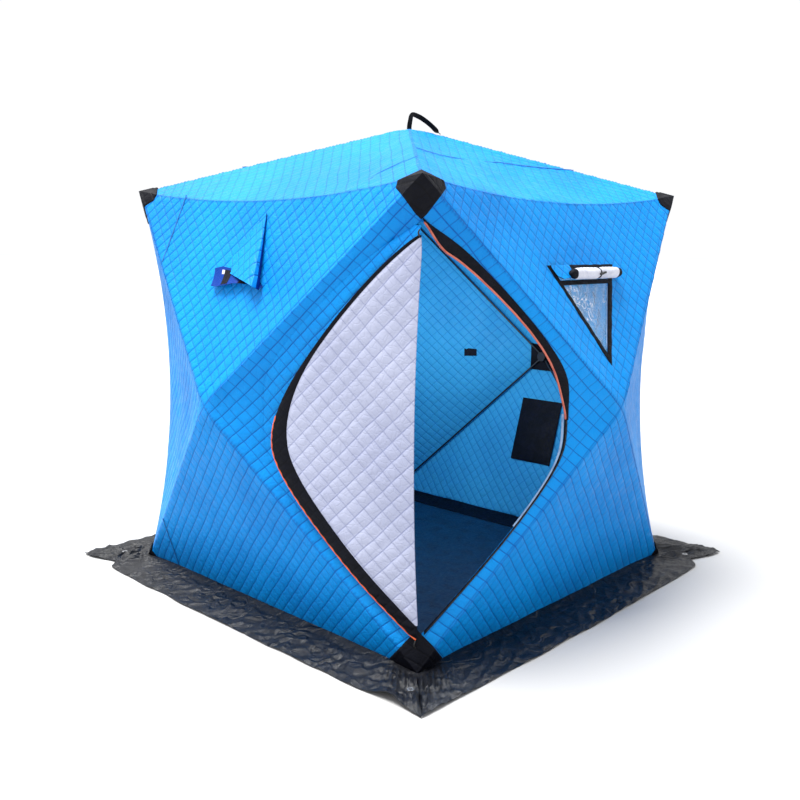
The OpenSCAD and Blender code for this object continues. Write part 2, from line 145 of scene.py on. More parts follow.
def eave_edge(s):
    return stack((2 * s - 1) * EAVE, -(EAVE - EAVE_IN * bump4(s)), EAVE_H - EAVE_SAG * bump4(s))


def wall_place(a, b):
    """The wall's smooth surface over the square a, b in -1..1, with its hub in the middle."""
    r = np.maximum(np.maximum(np.abs(a), np.abs(b)), 1e-6)
    across, up = a / r, b / r
    t = np.clip((up + 1) / 2, 0, 1)
    side = stack(np.sign(a) * half_at(t), -half_at(t), EAVE_H * t)
    s = np.clip((across + 1) / 2, 0, 1)
    foot = stack((2 * s - 1) * BASE, -BASE, 0)
    edge = np.where((b > 0)[..., None], eave_edge(s), foot)
    edge = np.where((np.abs(a) >= np.abs(b))[..., None], side, edge)
    return HUB + (edge - HUB) * r[..., None]


def roof_place(a, b):
    r = np.maximum(np.maximum(np.abs(a), np.abs(b)), 1e-6)
    faces_y = np.abs(b) >= np.abs(a)
    way = np.where(faces_y, a, b) / r
    bump = 1 - way**2
    far = EAVE - EAVE_IN * bump
    x = np.where(faces_y, EAVE * way, np.sign(a) * far)
    y = np.where(faces_y, np.sign(b) * far, EAVE * way)
    return PEAK + (stack(x, y, EAVE_H - EAVE_SAG * bump) - PEAK) * r[..., None]


def head_place(x, z):
    """The point of the wall's head panel at x and z."""
    x, z = np.broadcast_arrays(np.asarray(x, float), np.asarray(z, float))
    s = np.full(x.shape, 0.5)
    for _ in range(8):
        eave_z = EAVE_H - EAVE_SAG * bump4(s)
        u = (eave_z - z) / (eave_z - HUB[2])
        s = (x / ((1 - u) * EAVE) + 1) / 2
    return lerp(eave_edge(s), HUB, u[..., None])


def head_dip(share):
    """The door's head comes down a little towards the corner, as a share of the corner edge."""
    return 0.021 * bell(share, 0.2)


def foot_place(x, z):
    """The point of the wall's foot panel at x and z."""
    u = np.asarray(z) / HUB[2]
    return stack(x, -BASE + (HUB[1] + BASE) * u, z)


def lens_place(way, grow=0.0):
    """The door's curve on the front wall, from its head (way 0) by its widest place (1) to its foot (2)."""
    way = np.asarray(way, float)
    near = np.where(way < 1, way, 2 - way)
    p, q = near ** (DOOR_POWER / 2), (1 - near) ** (DOOR_POWER / 2)
    angle = math.pi / 2 * p / (p + q)
    c, s = np.cos(angle) ** (2 / DOOR_POWER), np.sin(angle) ** (2 / DOOR_POWER)
    t = DOOR_MID_T + np.where(way < 1, 1, -1) * (DOOR_HALF_T + grow / EAVE_H) * c
    t = t - np.where(way < 1, head_dip(s), 0)
    u = (DOOR_REACH + grow) / DOOR_SPAN * s
    return lerp(corner_edge(t), HUB, np.asarray(u)[..., None])


def door_cut(a, b, side):
    """Below 0 inside the door's half lens, roughly in metres. It is on the panel at a < 0 (side -1) or a > 0 (1)."""
    r = np.maximum(np.abs(a), 1e-6)
    reach = DOOR_REACH / DOOR_SPAN
    t = (b / r + 1) / 2 - DOOR_MID_T
    t = np.abs(t) / (DOOR_HALF_T - np.where(t > 0, head_dip((1 - np.abs(a)) / reach), 0))
    way = np.abs(1 - np.abs(a)) / reach
    inside = (t**DOOR_POWER + way**DOOR_POWER) ** (1 / DOOR_POWER) - 1
    return np.where(a * side > 0, inside * 0.6, 1.0)


def outline_cut(a, b, corners):
    """Below 0 inside the outline that is cut in the head panel, in metres."""
    p = wall_place(a, b)
    found = []
    for (x0, z0), (x1, z1) in zip(corners, corners[1:] + corners[:1]):
        area = (x1 - x0) * (z0 - p[..., 2]) - (x0 - p[..., 0]) * (z1 - z0)
        found.append(area / math.hypot(x1 - x0, z1 - z0))
    return np.where((b > 0) & (np.abs(b) > np.abs(a)), np.max(found, axis=0), 1.0)


def puffs(p, q):
    """Height from 0 to 1 of diamond quilting, whose seams lie where p or q is a multiple of the cell."""
    return np.abs(np.sin(np.pi * p / QUILT)) ** 0.6 * (0.35 + 0.65 * np.abs(np.sin(np.pi * q / QUILT)) ** 0.5)


def dome(share):
    """A round crown from 0 at share 0 through 1 in the middle to 0 at share 1."""
    return np.sqrt(np.clip(1 - (2 * share - 1) ** 2, 0, 1))


def waves(u, v, length, seed, n=9):
    """Soft noise from -1 to 1 out of a few waves of about that length in all directions."""
    draw = np.random.default_rng(BUILD_SEED + abs(seed) * 2 + (seed < 0))
    total = 0
    for _ in range(n):
        angle, k = draw.uniform(0, math.tau), math.tau / (length * draw.uniform(0.6, 1.6))
        total = total + np.sin(k * (u * math.cos(angle) + v * math.sin(angle)) + draw.uniform(0, math.tau))
    return total / n * 1.6


# ---- meshes
def mesh_object(name, points, faces, slots=None, mats=(), quilt=None, sharp=True):
    used, index = np.unique(np.concatenate([np.ravel(f) for f in faces]), return_inverse=True)
    cuts = np.cumsum([np.size(f) for f in faces])[:-1]
    parts = [part.reshape(-1, np.shape(f)[-1]) for part, f in zip(np.split(index, cuts), faces)]
    mesh = bpy.data.meshes.new(name)
    mesh.from_pydata(points[used].tolist(), [], [f for part in parts for f in part.tolist()])
    for m in mats:
        mesh.materials.append(m)
    if slots is not None:
        which = np.concatenate([np.full(len(part), s) for part, s in zip(parts, slots)])
        mesh.polygons.foreach_set("material_index", which.astype(np.int32))
    if quilt is not None:
        spots = mesh.attributes.new("quilt", "FLOAT_VECTOR", "POINT").data
        spots.foreach_set("vector", quilt[used].astype(np.float32).ravel())
    mesh.polygons.foreach_set("use_smooth", np.ones(len(mesh.polygons), bool))
    if sharp:
        mesh.set_sharp_from_angle(angle=SHARP_ANGLE)
    mesh.update()
    obj = bpy.data.objects.new(name, mesh)
    bpy.context.scene.collection.objects.link(obj)
    return obj


def shell(name, outer, inner, mats, keep=None, quilt=None, wrap=False):
    """A closed skin between two (n, m, 3) grids of points. mats is one material, or those of the outside, the
    inside and the rim."""
    mats = mats if isinstance(mats, tuple) else (mats,) * 3
    n, m = outer.shape[:2]
    index = np.arange(n * m).reshape(n, m)
    if wrap:
        index[-1] = index[0]
    a, b, c, d = index[:-1, :-1], index[1:, :-1], index[1:, 1:], index[:-1, 1:]
    if keep is None:
        keep = np.ones(a.shape, bool)
    front = np.stack([a, b, c, d], -1)[keep]
    near = np.pad(keep, ((1, 1), (0, 0)), mode="wrap" if wrap else "constant")
    near = np.pad(near, ((0, 0), (1, 1)))
    rims = []
    for i, j, p, q in ((-1, 0, a, d), (1, 0, c, b), (0, -1, b, a), (0, 1, d, c)):
        edge = keep & ~near[1 + i : n + i, 1 + j : m + j]
        p, q = p[edge], q[edge]
        rims.append(np.stack([p, q, q + n * m, p + n * m], -1))
    points = np.concatenate([outer.reshape(-1, 3), inner.reshape(-1, 3)])
    if quilt is not None:
        quilt = np.concatenate([quilt.reshape(-1, 3)] * 2)
    faces = [front, front[:, ::-1] + n * m, np.concatenate(rims)]
    return mesh_object(name, points, faces, (0, 1, 2), mats, quilt)


def sewn(name, outer, inner, mats, **options):
    """A closed skin whose faces are turned outwards."""
    return recalc(shell(name, outer, inner, mats, **options))


def normals(grid):
    """Unit normals of an (n, m, 3) grid of points."""
    du, dv = np.gradient(grid, axis=0), np.gradient(grid, axis=1)
    n = np.cross(du, dv)
    return n / np.maximum(np.linalg.norm(n, axis=-1, keepdims=True), 1e-12)


def tube(name, path, radius, mat, sides=10):
    """A round cord along a path, a little thinner at its ends."""
    path = np.asarray(path, float)
    way = np.gradient(path, axis=0)
    way /= np.maximum(np.linalg.norm(way, axis=1, keepdims=True), 1e-12)
    side = np.cross(way, ASKEW)
    side /= np.linalg.norm(side, axis=1, keepdims=True)
    up = np.cross(side, way)
    r = np.full((len(path), 1), radius)
    r[0] = r[-1] = radius * 0.55
    turn = np.linspace(0, math.tau, sides, endpoint=False)
    rings = path[:, None] + (r * np.cos(turn))[..., None] * side[:, None] + (r * np.sin(turn))[..., None] * up[:, None]
    index = np.arange(len(path) * sides).reshape(-1, sides)
    after = np.roll(index, -1, axis=1)
    quads = np.stack([index[:-1], index[1:], after[1:], after[:-1]], -1).reshape(-1, 4)
    faces = [quads, index[:1, ::-1], index[-1:]]
    return recalc(mesh_object(name, rings.reshape(-1, 3), faces, mats=[mat], sharp=False))


def recalc(obj):
    """Turns the faces of a closed mesh outwards."""
    bm = bmesh.new()
    bm.from_mesh(obj.data)
    bmesh.ops.recalc_face_normals(bm, faces=bm.faces)
    bm.to_mesh(obj.data)
    bm.free()
    obj.data.update()
    return obj


def place(obj, slot, *nodes, body="shelter", turn=0):
    """Turns a piece to its wall, rides it on its body, and hides the CAD nodes it stands for. The slot argument is not
    used.
    """
    if turn:
        obj.data.transform(Matrix.Rotation(math.radians(turn), 4, "Z"))
    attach(obj, body)
    nodes = [node for node in nodes if node]
    if nodes:
        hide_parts(*nodes)
    return obj


# ---- materials
class Graph:
    """Shorthand for building one material's nodes."""

    def __init__(self, name):
        self.material = bpy.data.materials.new(name)
        self.material.use_nodes = True
        self.tree = self.material.node_tree
        self.shader = self.tree.nodes["Principled BSDF"]

    def node(self, kind, inputs=None, out=0, **settings):
        n = self.tree.nodes.new(kind)
        for key, value in settings.items():
            setattr(n, key, value)
        for key, value in (inputs or {}).items():
            self.put(n.inputs[key], value)
        return n.outputs[out]

    def put(self, socket, value):
        if isinstance(value, bpy.types.NodeSocket):
            self.tree.links.new(value, socket)
        else:
            socket.default_value = value

    def set(self, name, value):
        self.put(self.shader.inputs[name], value)

    def times(self, x, y):
        return self.math("MULTIPLY", x, y)

    def plus(self, x, y, clamp=False):
        return self.math("ADD", x, y, clamp)

    def math(self, operation, x, y=0.0, clamp=False):
        return self.node("ShaderNodeMath", {0: x, 1: y}, operation=operation, use_clamp=clamp)

    def noise(self, place, scale, detail=3.0, rough=0.5, warp=0.0):
        wanted = {"Vector": place, "Scale": scale, "Detail": detail, "Roughness": rough, "Distortion": warp}
        return self.node("ShaderNodeTexNoise", wanted)

    def mix(self, share, one, two):
        n = self.tree.nodes.new("ShaderNodeMix")
        n.data_type = "RGBA"
        for key, value in ((0, share), (6, one), (7, two)):
            self.put(n.inputs[key], value)
        return n.outputs[2]

    def span(self, value, low, high, to_low=0.0, to_high=1.0):
        wanted = {"Value": value, "From Min": low, "From Max": high, "To Min": to_low, "To Max": to_high}
        return self.node("ShaderNodeMapRange", wanted, interpolation_type="SMOOTHSTEP")

    def bump(self, height, strength, distance):
        found = self.node("ShaderNodeBump", {"Height": height, "Strength": strength, "Distance": distance})
        self.set("Normal", found)
        return found

    def object_place(self):
        return self.node("ShaderNodeTexCoord", out=3)


def rgb(red, green, blue):
    """A colour given as 0 to 255 on screen, as a linear one."""
    found = [c / 255 for c in (red, green, blue)]
    return (*[c / 12.92 if c <= 0.04045 else ((c + 0.055) / 1.055) ** 2.4 for c in found], 1.0)


def quilted(name, colour, deep_colour, rough=0.5, through=0.0, crinkle=1.0, line=0.6, puff=0.003, shine=0.22):
    """Quilted cloth: pillows between stitched diamond seams, crinkles and a fine grain."""
    g = Graph(name)
    spot = g.node("ShaderNodeAttribute", out=1, attribute_name="quilt")
    parts = g.tree.nodes.new("ShaderNodeSeparateXYZ")
    g.put(parts.inputs[0], spot)
    place = g.object_place()
    wander = g.times(g.noise(place, 6, 2), 0.012)
    seams, pillows = [], []
    for axis, weight in ((0, 1.0), (1, line)):
        at = g.plus(parts.outputs[axis], wander)
        wave = g.math("ABSOLUTE", g.math("SINE", g.times(at, math.pi / QUILT)))
        seams.append(g.times(g.span(wave, 0.0, 0.24, 1.0, 0.0), weight))
        dip = g.times(g.math("POWER", g.math("SUBTRACT", 1.0, wave), 2.6), weight)
        pillows.append(g.math("SUBTRACT", 1.0, dip))
    seam = g.math("MAXIMUM", seams[0], seams[1])
    pillow = g.times(pillows[0], pillows[1])
    sewn = parts.outputs[2]
    folds = g.noise(place, 24, 4, 0.55, 0.6)
    cells = {"Vector": place, "Scale": 38.0, "Randomness": 1.0}
    creases = g.node("ShaderNodeTexVoronoi", cells, feature="DISTANCE_TO_EDGE")
    crease = g.span(creases, 0.0, 0.12, 1.0, 0.0)
    cloudy = g.noise(place, 2.2, 3, 0.6)
    grain = g.noise(place, 900, 2)
    shade = g.plus(g.times(seam, 0.95), g.times(g.span(cloudy, 0.35, 0.7), 0.3))
    shade = g.plus(shade, g.times(sewn, 0.5), clamp=True)
    g.set("Base Color", g.mix(shade, colour, deep_colour))
    g.set("Roughness", g.span(folds, 0.3, 0.7, rough - 0.09, rough + 0.1))
    g.set("Specular IOR Level", shine)
    height = g.times(pillow, puff)
    height = g.plus(height, g.times(folds, 0.0034 * crinkle))
    height = g.plus(height, g.times(crease, -0.0006 * crinkle))
    height = g.plus(height, g.times(grain, 0.0002))
    normal = g.bump(height, 0.8, 1.0)
    if through:
        tree = g.tree
        glow = tree.nodes.new("ShaderNodeBsdfTranslucent")
        glow.inputs["Color"].default_value = colour
        tree.links.new(normal, glow.inputs["Normal"])
        both = tree.nodes.new("ShaderNodeMixShader")
        both.inputs[0].default_value = through
        tree.links.new(g.shader.outputs[0], both.inputs[1])
        tree.links.new(glow.outputs[0], both.inputs[2])
        tree.links.new(both.outputs[0], tree.nodes["Material Output"].inputs["Surface"])
    return g.material


def cloth(name, colour, worn, rough=0.7, weave=420.0, crease=1.0, shine=0.25, crumple=0.0):
    """Plain woven cloth or webbing with folds and, where it lies loose, sharp crumples, worn lighter in patches."""
    g = Graph(name)
    place = g.object_place()
    folds = g.noise(place, 17, 5, 0.6, 0.8)
    fine = g.noise(place, 75, 3, 0.6, 0.5)
    threads = g.node("ShaderNodeTexWave", {"Vector": place, "Scale": weave, "Distortion": 2.0, "Detail": 1.0}, out=1)
    g.set("Base Color", g.mix(g.span(folds, 0.38, 0.72), colour, worn))
    g.set("Roughness", g.span(fine, 0.3, 0.7, rough - 0.1, rough + 0.1))
    g.set("Specular IOR Level", shine)
    height = g.plus(g.times(folds, 0.9 * crease), g.times(fine, 0.3 * crease))
    if crumple:
        bent = g.node("ShaderNodeVectorMath", {0: place, 1: g.noise(place, 7, 2)}, operation="ADD")
        for scale, tall in ((5.0, 4.6), (12.0, 1.2)):
            facets = g.node("ShaderNodeTexVoronoi", {"Vector": bent, "Scale": scale}, feature="SMOOTH_F1")
            height = g.plus(height, g.times(facets, tall * crumple))
    g.bump(g.plus(height, g.times(threads, 0.05)), 0.7, 0.006)
    return g.material


def plastic(name, colour, rough=0.4, metal=0.0, scale=60.0):
    g = Graph(name)
    place = g.object_place()
    marks = g.noise(place, scale, 4, 0.6)
    dark = tuple(c * 0.6 for c in colour[:3]) + (1.0,)
    g.set("Base Color", g.mix(g.span(marks, 0.45, 0.8), colour, dark))
    g.set("Roughness", g.span(marks, 0.3, 0.7, rough - 0.08, rough + 0.14))
    g.set("Metallic", metal)
    g.bump(g.noise(place, scale * 6, 2), 0.25, 0.001)
    return g.material


def clear_sheet(name):
    """Thin clear vinyl, creased, whose glints are painted: thin streaks along which it is whiter and less clear."""
    g = Graph(name)
    place = g.object_place()
    folds = g.noise(place, 9, 4, 0.55, 1.6)
    fine = g.noise(place, 42, 3, 0.6, 1.0)
    lines = g.math("ABSOLUTE", g.math("SUBTRACT", g.noise(place, 15, 1.5, 0.5, 2.5), 0.5))
    # painted glints: thin streaks where the sheet is whiter and less clear, as if it caught the light
    painted_glint = g.times(g.span(lines, 0.0, 0.022, 1.0, 0.0), g.span(g.noise(place, 7, 2), 0.4, 0.6))
    g.set("Base Color", g.mix(painted_glint, (0.8, 0.88, 0.94, 1), (0.97, 0.98, 1.0, 1)))
    g.set("Transmission Weight", g.span(painted_glint, 0.0, 1.0, 0.93, 0.3))
    g.set("IOR", 1.28)
    g.set("Roughness", g.span(fine, 0.3, 0.7, 0.06, 0.16))
    g.bump(g.plus(folds, g.times(fine, 0.25)), 1.0, 0.012)
    return g.material


BLUE = quilted("blue_quilt_cloth", rgb(2, 147, 231), rgb(0, 88, 172), 0.5, crinkle=1.25, through=0.1, shine=0.17)
INSIDE = quilted("blue_lining_cloth", rgb(60, 172, 218), rgb(28, 122, 182), 0.6, through=0.22)
WHITE = quilted("white_lining_cloth", rgb(176, 181, 205), rgb(138, 144, 176), 0.55, crinkle=1.5, puff=0.0022)
BLACK_QUILT = quilted("black_quilt_cloth", rgb(7, 9, 20), rgb(4, 5, 12), 0.55, crinkle=0.8, puff=0.002, shine=0.12)
SKIRT = cloth("skirt_cloth_black", rgb(3, 6, 15), rgb(10, 12, 22), 0.42, crease=0.6, shine=0.42, crumple=1.0)
FLOOR = cloth("floor_cloth_blue", rgb(8, 52, 80), rgb(6, 38, 62), 0.6, crease=0.5, shine=0.12)
BORDER = cloth("border_cloth_navy", rgb(2, 5, 20), rgb(6, 10, 28), 0.65, crease=0.6, shine=0.08)
TRIM = cloth("black_trim_cloth", rgb(5, 7, 16), rgb(12, 14, 26), 0.6, crease=0.5, shine=0.12)
SEAM = cloth("seam_cloth_blue", rgb(6, 104, 176), rgb(4, 84, 150), 0.6, crease=0.2)
WEBBING = cloth("black_webbing", rgb(10, 11, 14), rgb(22, 23, 26), 0.75, 260.0, 0.2, shine=0.08)
ORANGE = cloth("orange_piping_cloth", rgb(226, 104, 62), rgb(200, 84, 48), 0.55, 300.0, 0.3)
SALMON = cloth("salmon_piping_cloth", rgb(214, 118, 98), rgb(180, 92, 78), 0.6, 300.0, 0.3)
HEM = cloth("pale_hem_cloth", rgb(150, 176, 208), rgb(110, 140, 180), 0.6, crease=0.4)
ROLL_WHITE = cloth("rolled_flap_cloth", rgb(214, 216, 228), rgb(186, 190, 208), 0.55, crease=0.7)
FLAP_UNDER = quilted("royal_blue_under", rgb(2, 52, 138), rgb(2, 36, 104), 0.55, shine=0.1)
CLEAR = clear_sheet("clear_vinyl")
POLE = plastic("pole_fibreglass", rgb(18, 20, 26), 0.35)
MOULDED = plastic("moulded_black", rgb(20, 20, 23), 0.42)
METAL = plastic("nickel_eyelet", rgb(196, 198, 202), 0.28, 1.0)


# ---- walls and roof
def snapped(a, b, cut, near, cell):
    """a and b with the points in near moved to the edge of an opening, where cut is 0."""
    a, b = a.copy(), b.copy()
    e = 1e-4
    a0, b0 = a.copy(), b.copy()
    for _ in range(8):
        v = cut(a, b)
        ga = (cut(a + e, b) - cut(a - e, b)) / (2 * e)
        gb = (cut(a, b + e) - cut(a, b - e)) / (2 * e)
        step = v / (ga**2 + gb**2 + 1e-9)
        a = np.where(near, np.clip(a - step * ga, a0 - 1.4 * cell, a0 + 1.4 * cell), a)
        b = np.where(near, np.clip(b - step * gb, b0 - 1.4 * cell, b0 + 1.4 * cell), b)
        a = np.where(np.abs(a0) >= 1, a0, np.clip(a, -1, 1))
        b = np.where(np.abs(b0) >= 1, b0, np.clip(b, -1, 1))
    return a, b


def stretched_skin(name, where, cut, seed, mats, count=167, swap=False):
    """A quilted skin stretched over bent rods, over the square a, b, with its openings cut out.
    swap makes the other family of quilting seams the deeper one."""
    line = np.linspace(-1, 1, count)
    cell = line[1] - line[0]
    a, b = np.meshgrid(line, line, indexing="ij")
    if cut is None:
        keep = np.ones((count - 1, count - 1), bool)
        clear = np.ones(a.shape)
    else:
        keep = cut(a[:-1, :-1] + cell / 2, b[:-1, :-1] + cell / 2) > 0
        near = np.pad(keep, 1)
        touching = [near[i : i + count, j : j + count] for i in (0, 1) for j in (0, 1)]
        inside = np.zeros_like(near)
        inside[1:-1, 1:-1] = ~keep
        lost = [inside[i : i + count, j : j + count] for i in (0, 1) for j in (0, 1)]
        a, b = snapped(a, b, cut, np.any(touching, axis=0) & np.any(lost, axis=0), cell)
        clear = cut(a, b)
    base = where(a, b)
    e = 2e-3
    n = np.cross(where(a + e, b) - where(a - e, b), where(a, b + e) - where(a, b - e))
    n /= np.maximum(np.linalg.norm(n, axis=-1, keepdims=True), 1e-12)
    r = np.maximum(np.abs(a), np.abs(b))
    ridge = np.abs(np.abs(a) - np.abs(b))
    # the two coordinates across the quilting, along the diagonals of the wall or roof
    flat_up = base[..., 2] - HUB[2] if where is wall_place else base[..., 1]
    p, q = (base[..., 0] + flat_up) / math.sqrt(2), (base[..., 0] - flat_up) / math.sqrt(2)
    p, q = (q, p) if swap else (p, q)
    edge = np.minimum(smooth(1 - r, 0.0, 0.02), smooth(clear, 0.0, 0.018))
    seam = smooth(ridge, 0.0, 0.03)
    angle = np.arctan2(b, a)
    slack = waves(base[..., 0], flat_up, 0.34, seed) * 0.0038 * smooth(ridge, 0.0, 0.3)
    pucker = 0
    for k in (38, 61):
        pucker = pucker + np.sin(r * 90 * k / 38 + seed) * np.exp(-ridge / 0.035) * 0.0009
    rays = np.sin(angle * 26 + 3 * waves(a, b, 0.5, seed + 3)) * bell(r, 0.2)
    rays = rays * smooth(r, 0.02, 0.07) * 0.002
    calm = 1 - 0.8 * smooth(np.abs(a) * np.abs(b), 0.78, 0.9)
    rise = (puffs(p, q) * PUFF * seam + slack + rays) * edge * calm + pucker * edge * smooth(r, 0.03, 0.1)
    tip = 0.009 * bell(r, 0.035)
    outer = base + n * (rise - tip)[..., None]
    inner = deep(base, FABRIC_T + tip) - n * (puffs(p, q) * LINING_PUFF * seam * edge - slack * edge)[..., None]
    from_edge = (1 - r) * (1 + 9 * (b < 0) * (where is wall_place))
    quilt = stack(p, q, 1 - smooth(np.minimum(ridge, from_edge), 0.0, 0.014))
    return shell(name, outer, inner, mats, keep, quilt)


def make_walls():
    """The four quilted walls. The door's lens goes round the corner between the front and the left one."""
    def openings(outline, door_side=0):
        def cut(a, b):
            found = outline_cut(a, b, outline)
            return np.minimum(door_cut(a, b, door_side), found) if door_side else found

        return cut

    made = []
    for side, cut, nodes in (
        ("front", openings(WINDOW, -1), ("front_wall", "front_door_surround")),
        ("left", openings(VENT, 1), ("left_wall", "left_door_surround")),
        ("right", openings(VENT), ("right_wall",)),
        ("back", openings(WINDOW), ("back_wall",)),
    ):
        swap = side in ("left", "right")
        mats = (BLUE, INSIDE, BLUE)
        wall = stretched_skin(f"{side}_wall_quilt", wall_place, cut, len(made) * 5, mats, swap=swap)
        place(wall, "blue_quilt", *nodes, turn=TURNS[side])
        made.append(wall)
    roof = stretched_skin("roof_quilt", roof_place, None, 33, (BLUE, INSIDE, TRIM), 157)
    place(roof, "blue_quilt", "roof")


# ---- door
SWAP = np.array([[0, 1, 0], [1, 0, 0], [0, 0, 1]])
TURN = math.atan2(HUB_OUT - FOLD, FOLD)
HINGE = -(FOLD + LEAF_OFF * (math.cos(TURN) + math.sin(TURN)) / (1 + math.sin(2 * TURN)))
LEAF_WAY = np.array([-math.sin(TURN), math.cos(TURN), 0])
LEAF_OUT = np.array([-math.cos(TURN), -math.sin(TURN), 0])


def leaf_width(z):
    """How far the leaf reaches from its fold at the height z."""
    far = np.where(z > LEAF_MID, (z - LEAF_MID) / LEAF_RISE, (LEAF_MID - z) / LEAF_DROP)
    blunt = 0.12
    far = (np.hypot(np.clip(far, 0, 1), blunt) - blunt) / (math.hypot(1, blunt) - blunt)
    power = np.where(z > LEAF_MID, 1.2, 1.13)
    return LEAF_REACH * np.clip(1 - far**power, 0, 1) ** (1 / power)


def fold_width(z):
    """The fold isn't quite straight: it bows back from the doorway about the middle."""
    return (0.026 * bump4(np.clip((z - 0.12) / 1.45, 0, 1)) - 0.006) * smooth(leaf_width(z), 0.03, 0.12)


def band_width(z):
    """The black band is narrow down the leaf's upper edge and broad from its shoulder down."""
    return 0.02 + 0.056 * (1 - smooth(z, 0.7, 1.18))


def leaf_place(w, z, out=0.0):
    """A point of the folded leaf: it hangs a little slack, and its fold is rounded."""
    w, z, out = np.broadcast_arrays(np.asarray(w, float), np.asarray(z, float), np.asarray(out, float))
    sway = 0.007 * np.sin(3.1 * z + 0.6) * smooth(w, 0.03, 0.3) + 0.004 * waves(w, z, 0.3, 71) * smooth(w, 0.02, 0.1)
    lift = 0.004 + sway + out
    return np.array([HINGE, HINGE, 0]) + w[..., None] * LEAF_WAY + lift[..., None] * LEAF_OUT + stack(0, 0, z)


def leaf_quilt(w, z, cell=QUILT):
    return (w + z) / math.sqrt(2) * QUILT / cell, (w - z) / math.sqrt(2) * QUILT / cell


def flipped(*grids):
    return [grid.transpose(1, 0, 2)[:, ::-1] for grid in grids]


def make_leaf():
    """The half of the door that folds out: white lining inside its black band, with orange piping."""
    rows, columns = 180, 66
    low = LEAF_MID - LEAF_DROP
    zs = np.linspace(0, 1, 4000)
    zs = low + 0.0008 + (LEAF_RISE + LEAF_DROP - 0.0016) * zs
    pale = zs[leaf_width(zs) > band_width(zs) + np.abs(fold_width(zs)) + 0.004]
    z = column(pale[0], pale[-1], rows)
    share = row(0, 1, columns)
    w = lerp(fold_width(z), leaf_width(z) - band_width(z), share)
    z = z + 0 * w
    p, q = leaf_quilt(w, z, LEAF_QUILT)
    inset = np.minimum(w - fold_width(z), leaf_width(z) - band_width(z) - w)
    height = puffs(p, q) * LEAF_PUFF * smooth(inset, 0, 0.02)
    outer, inner = leaf_place(w, z, 0.003 + height), leaf_place(w, z, -0.003 - 0.6 * height)
    outer, inner, quilt = flipped(outer, inner, stack(p, q, 0))
    white = shell("door_leaf_quilt", outer, inner, (WHITE, BLUE, WHITE), quilt=quilt)
    place(white, "white_lining", "door_leaf", body="leaf")

    z = column(zs[0] + 0.003, zs[-1] - 0.003, 230)
    share = row(0, 1, 12)
    wide = leaf_width(z)
    start = np.maximum(wide - band_width(z), 0)
    w = start + (wide - start) * share
    z = z + 0 * w
    crown = dome(share) * 0.004 * smooth(wide - start, 0.01, 0.05)
    ripple = 0.0012 * np.sin(z * 190) * smooth(band_width(z), 0.02, 0.06)
    p, q = leaf_quilt(w, z)
    outer, inner = leaf_place(w, z, 0.0034 + crown + ripple), leaf_place(w, z, -0.0034 - crown * 0.5)
    outer, inner, quilt = flipped(outer, inner, stack(p, q, 0))
    band = shell("door_leaf_band_cloth", outer, inner, (BLACK_QUILT, BLACK_QUILT, TRIM), quilt=quilt)
    place(band, "black_trim", "door_leaf_band", body="leaf")

    # the piping runs along the band's outer edge from the shoulder down
    z = low + 0.002 + (0.9 - low) * np.linspace(0, 1, 220) ** 1.6
    path = leaf_place(np.maximum(leaf_width(z) - 0.0015, 0.0), z, 0.002)
    piping = tube("door_leaf_piping_cord", path, 0.0038, ORANGE)
    place(piping, "orange_piping", "door_leaf_piping", body="leaf")


def make_fixed_half():
    """The half that stays zipped to the left wall, from its curve to the fold, under the leaf."""
    rows, columns = 120, 60
    way = np.linspace(1.95, 0.03, rows)
    rim = lens_place(way, -0.001)
    fold = stack(HINGE + 0.0045, HINGE + 0.0045, rim[:, 2])
    fold = fold + (fold_width(rim[:, 2]) + 0.004)[:, None] * LEAF_WAY @ SWAP
    share = np.linspace(0, 1, columns)[None, :, None]
    base = fold[:, None] + (rim - fold)[:, None] * share
    q, p = leaf_quilt(-base[..., 0], base[..., 2] - HUB[2])
    inset = smooth(share[..., 0], 0, 0.04) * smooth(1 - share[..., 0], 0, 0.01)
    outer = base.transpose(1, 0, 2)
    inner = deep(base, FABRIC_T).transpose(1, 0, 2)
    n = normals(outer)
    n = n if n[30, 60, 1] < 0 else -n
    outer = outer + n * (puffs(p, q) * PUFF * inset).T[..., None]
    outer, inner = (outer @ SWAP)[::-1], (inner @ SWAP)[::-1]
    quilt = stack(p, q, 0).transpose(1, 0, 2)[::-1]
    fixed = sewn("door_fixed_quilt", outer, inner, (BLUE, WHITE, BLUE), quilt=quilt)
    place(fixed, "white_lining", "door_fixed_half")


def lens_strip(name, ways, outside, inside, lift, thick, mats, count=110):
    """A strip of cloth along the door's curve on the front wall."""
    way = np.linspace(ways[0], ways[1], count)
    share = np.linspace(0, 1, 9)[None, :, None]
    one, two = lens_place(way, outside), lens_place(way, inside(way) if callable(inside) else inside)
    grid = one[:, None] + (two - one)[:, None] * share
    crown = dome(share[..., 0]) * 0.003
    ripple = 0.0012 * np.sin(way * 95)[:, None] * share[..., 0]
    outer = deep(grid, -(lift + thick + crown + ripple))
    p, q = leaf_quilt(grid[..., 0], grid[..., 2])
    return sewn(name, outer, deep(grid, -lift), mats, quilt=stack(p, q, 0))


